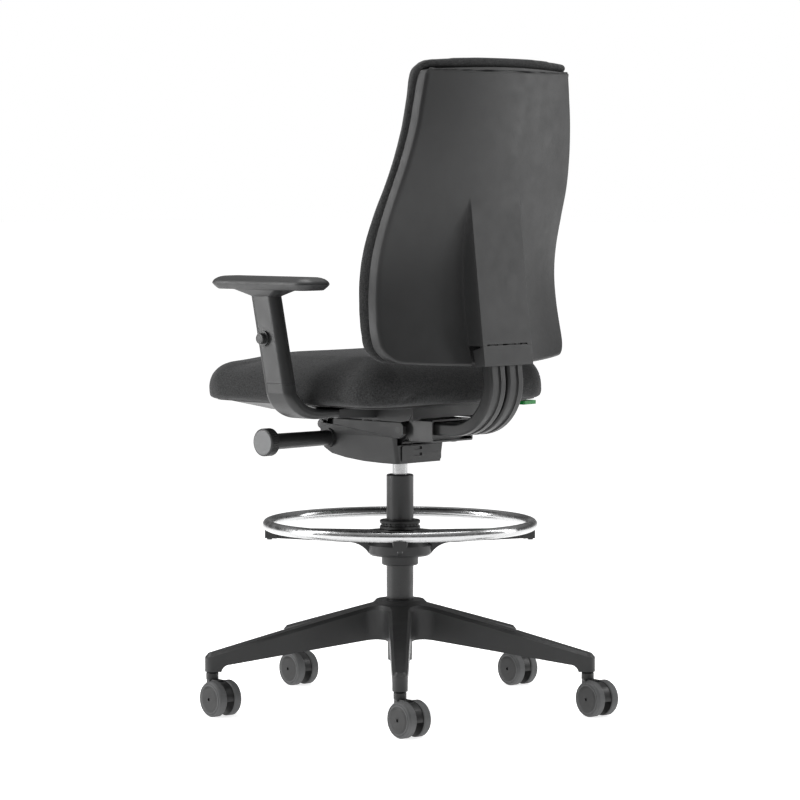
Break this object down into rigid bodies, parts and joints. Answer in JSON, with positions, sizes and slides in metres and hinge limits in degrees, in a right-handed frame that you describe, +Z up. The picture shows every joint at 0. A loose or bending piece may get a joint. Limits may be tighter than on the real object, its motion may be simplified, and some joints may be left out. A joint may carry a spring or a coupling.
{
  "type": "drafting chair",
  "caption": "High swivel drafting chair with upholstered seat and back, height-adjustable armrests, chrome foot ring and star base on castors.",
  "frame": {"origin": "on the floor, under the centre of the column", "axes": "+Z up; a sitter faces -Y, with the sitter's left at +X and the backrest at +Y"},
  "size_m": [0.7301, 0.7529, 1.19],
  "materials": {
    "base_plastic": "fine grained moulding",
    "black_steel": "black powder coat",
    "dark_plastic": "moulded",
    "steel": "turned",
    "ring_chrome": "bright chrome",
    "housing_plastic": "fine grained moulding",
    "grey_disc": "smooth",
    "bar_plastic": "fine grained moulding",
    "shell_plastic": "fine grained moulding",
    "fabric": "woven upholstery",
    "arm_plastic": "satin moulding",
    "pad_rubber": "soft foam skin",
    "green_plastic": "satin",
    "castor_plastic": "moulded",
    "castor_tread": "soft tread"
  },
  "bodies": {
    "root": {"star_base": "base_plastic", "column_tube": "black_steel", "guide_bush": "dark_plastic", "thrust_bearing": "steel", "castor_stems": "steel"},
    "gas_rod": {"piston_rod": "steel", "retaining_clip": "steel"},
    "ring_assembly": {"foot_ring": "ring_chrome", "ring_spider": "base_plastic", "ring_bush": "dark_plastic", "ring_screws": "black_steel"},
    "collar": {"ring_collar": "dark_plastic"},
    "mechanism": {"gas_cylinder": "ring_chrome", "mech_frame": "black_steel", "lower_housing": "housing_plastic", "upper_housing": "housing_plastic", "rear_cover": "housing_plastic", "tension_spring": "steel", "main_axle": "black_steel", "front_axle": "black_steel", "lever_pin": "steel"},
    "crank": {"crank_shaft": "housing_plastic", "crank_knob": "housing_plastic", "crank_disc": "grey_disc"},
    "lift_lever": {"height_lever": "housing_plastic"},
    "back_carrier": {"back_bracket": "black_steel", "bracket_bolts": "black_steel", "back_bar_left": "bar_plastic", "back_bar_right": "bar_plastic"},
    "backrest": {"back_shell": "shell_plastic", "back_cushion": "fabric", "spine_cover": "shell_plastic", "spine_cap": "shell_plastic"},
    "carrier": {"seat_carrier": "housing_plastic", "arm_foot_left": "arm_plastic", "arm_foot_right": "arm_plastic", "arm_bolts": "black_steel"},
    "seat": {"seat_pan": "housing_plastic", "seat_cushion": "fabric", "depth_pin": "steel"},
    "seat_lever": {"depth_lever": "green_plastic"},
    "arm_left": {"arm_sleeve_left": "arm_plastic", "arm_pad_left": "pad_rubber"},
    "arm_right": {"arm_sleeve_right": "arm_plastic", "arm_pad_right": "pad_rubber"},
    "button_left": {"arm_button_left": "arm_plastic"},
    "button_right": {"arm_button_right": "arm_plastic"},
    "castor_1": {"castor_hood_1": "castor_plastic"},
    "wheels_1": {"castor_wheels_1": "castor_tread"},
    "castor_2": {"castor_hood_2": "castor_plastic"},
    "wheels_2": {"castor_wheels_2": "castor_tread"},
    "castor_3": {"castor_hood_3": "castor_plastic"},
    "wheels_3": {"castor_wheels_3": "castor_tread"},
    "castor_4": {"castor_hood_4": "castor_plastic"},
    "wheels_4": {"castor_wheels_4": "castor_tread"},
    "castor_5": {"castor_hood_5": "castor_plastic"},
    "wheels_5": {"castor_wheels_5": "castor_tread"}
  },
  "joints": [
    {"name": "seat_swivel", "type": "hinge", "parent": "root", "child": "gas_rod", "pos_m": [0, 0, 0.1], "axis": [0, 0, 1], "continuous": true},
    {"name": "seat_height", "type": "slide", "parent": "gas_rod", "child": "mechanism", "axis": [0, 0, 1], "range_m": [0, 0.2]},
    {"name": "ring_height", "type": "slide", "parent": "root", "child": "ring_assembly", "axis": [0, 0, 1], "range_m": [-0.05, 0.07]},
    {"name": "ring_clamp", "type": "hinge", "parent": "ring_assembly", "child": "collar", "pos_m": [0, 0, 0.3385], "axis": [0, 0, 1], "range_deg": [-30, 30]},
    {"name": "tension_crank", "type": "hinge", "parent": "mechanism", "child": "crank", "pos_m": [0.15, -0.117, 0.4964], "axis": [1, 0, 0], "range_deg": [-720, 720]},
    {"name": "height_lever_lift", "type": "hinge", "parent": "mechanism", "child": "lift_lever", "pos_m": [-0.078, -0.112, 0.5], "axis": [0, 1, 0], "range_deg": [0, 8], "stiffness_Nm_per_rad": 4, "springref_deg": -8.02},
    {"name": "back_recline", "type": "hinge", "parent": "mechanism", "child": "back_carrier", "pos_m": [0, 0.058, 0.519], "axis": [-1, 0, 0], "range_deg": [0, 18], "stiffness_Nm_per_rad": 120, "springref_deg": -20.05},
    {"name": "back_height", "type": "slide", "parent": "back_carrier", "child": "backrest", "axis": [0, -0.1167, 0.9932], "range_m": [0, 0.07]},
    {"name": "seat_tilt", "type": "hinge", "parent": "mechanism", "child": "carrier", "pos_m": [0, -0.15, 0.52], "axis": [-1, 0, 0], "range_deg": [-0.5, 6.5]},
    {"name": "seat_depth", "type": "slide", "parent": "carrier", "child": "seat", "axis": [0, -1, 0], "range_m": [0, 0.035]},
    {"name": "depth_lever_pull", "type": "hinge", "parent": "seat", "child": "seat_lever", "pos_m": [-0.165, 0.0995, 0.558], "axis": [0, 1, 0], "range_deg": [0, 4], "stiffness_Nm_per_rad": 2, "springref_deg": -8.02},
    {"name": "arm_height_left", "type": "slide", "parent": "carrier", "child": "arm_left", "axis": [0, -0.213, 0.977], "range_m": [0, 0.1]},
    {"name": "arm_button_left_press", "type": "slide", "parent": "arm_left", "child": "button_left", "axis": [-1, 0, 0], "range_m": [0, 0.003], "stiffness_N_per_m": 900, "springref_m": -0.003},
    {"name": "arm_height_right", "type": "slide", "parent": "carrier", "child": "arm_right", "axis": [0, -0.213, 0.977], "range_m": [0, 0.1]},
    {"name": "arm_button_right_press", "type": "slide", "parent": "arm_right", "child": "button_right", "axis": [1, 0, 0], "range_m": [0, 0.003], "stiffness_N_per_m": 900, "springref_m": -0.003},
    {"name": "castor_swivel_1", "type": "hinge", "parent": "root", "child": "castor_1", "pos_m": [0.26329, 0.24552, 0.079], "axis": [0, 0, 1], "continuous": true},
    {"name": "castor_roll_1", "type": "hinge", "parent": "castor_1", "child": "wheels_1", "pos_m": [0.26651, 0.27031, 0.0325], "axis": [-0.9917, 0.1288, 0], "continuous": true},
    {"name": "castor_swivel_2", "type": "hinge", "parent": "root", "child": "castor_2", "pos_m": [-0.15214, 0.32627, 0.079], "axis": [0, 0, 1], "continuous": true},
    {"name": "castor_roll_2", "type": "hinge", "parent": "castor_2", "child": "wheels_2", "pos_m": [-0.14892, 0.35106, 0.0325], "axis": [-0.9917, 0.1288, 0], "continuous": true},
    {"name": "castor_swivel_3", "type": "hinge", "parent": "root", "child": "castor_3", "pos_m": [-0.35732, -0.04387, 0.079], "axis": [0, 0, 1], "continuous": true},
    {"name": "castor_roll_3", "type": "hinge", "parent": "castor_3", "child": "wheels_3", "pos_m": [-0.3541, -0.01908, 0.0325], "axis": [-0.9917, 0.1288, 0], "continuous": true},
    {"name": "castor_swivel_4", "type": "hinge", "parent": "root", "child": "castor_4", "pos_m": [-0.06869, -0.35339, 0.079], "axis": [0, 0, 1], "continuous": true},
    {"name": "castor_roll_4", "type": "hinge", "parent": "castor_4", "child": "wheels_4", "pos_m": [-0.06547, -0.32859, 0.0325], "axis": [-0.9917, 0.1288, 0], "continuous": true},
    {"name": "castor_swivel_5", "type": "hinge", "parent": "root", "child": "castor_5", "pos_m": [0.31486, -0.17453, 0.079], "axis": [0, 0, 1], "continuous": true},
    {"name": "castor_roll_5", "type": "hinge", "parent": "castor_5", "child": "wheels_5", "pos_m": [0.31808, -0.14974, 0.0325], "axis": [-0.9917, 0.1288, 0], "continuous": true}
  ],
  "couplings": [
    {"joint": "seat_tilt", "follows": "back_recline", "ratio": 0.33333}
  ]
}
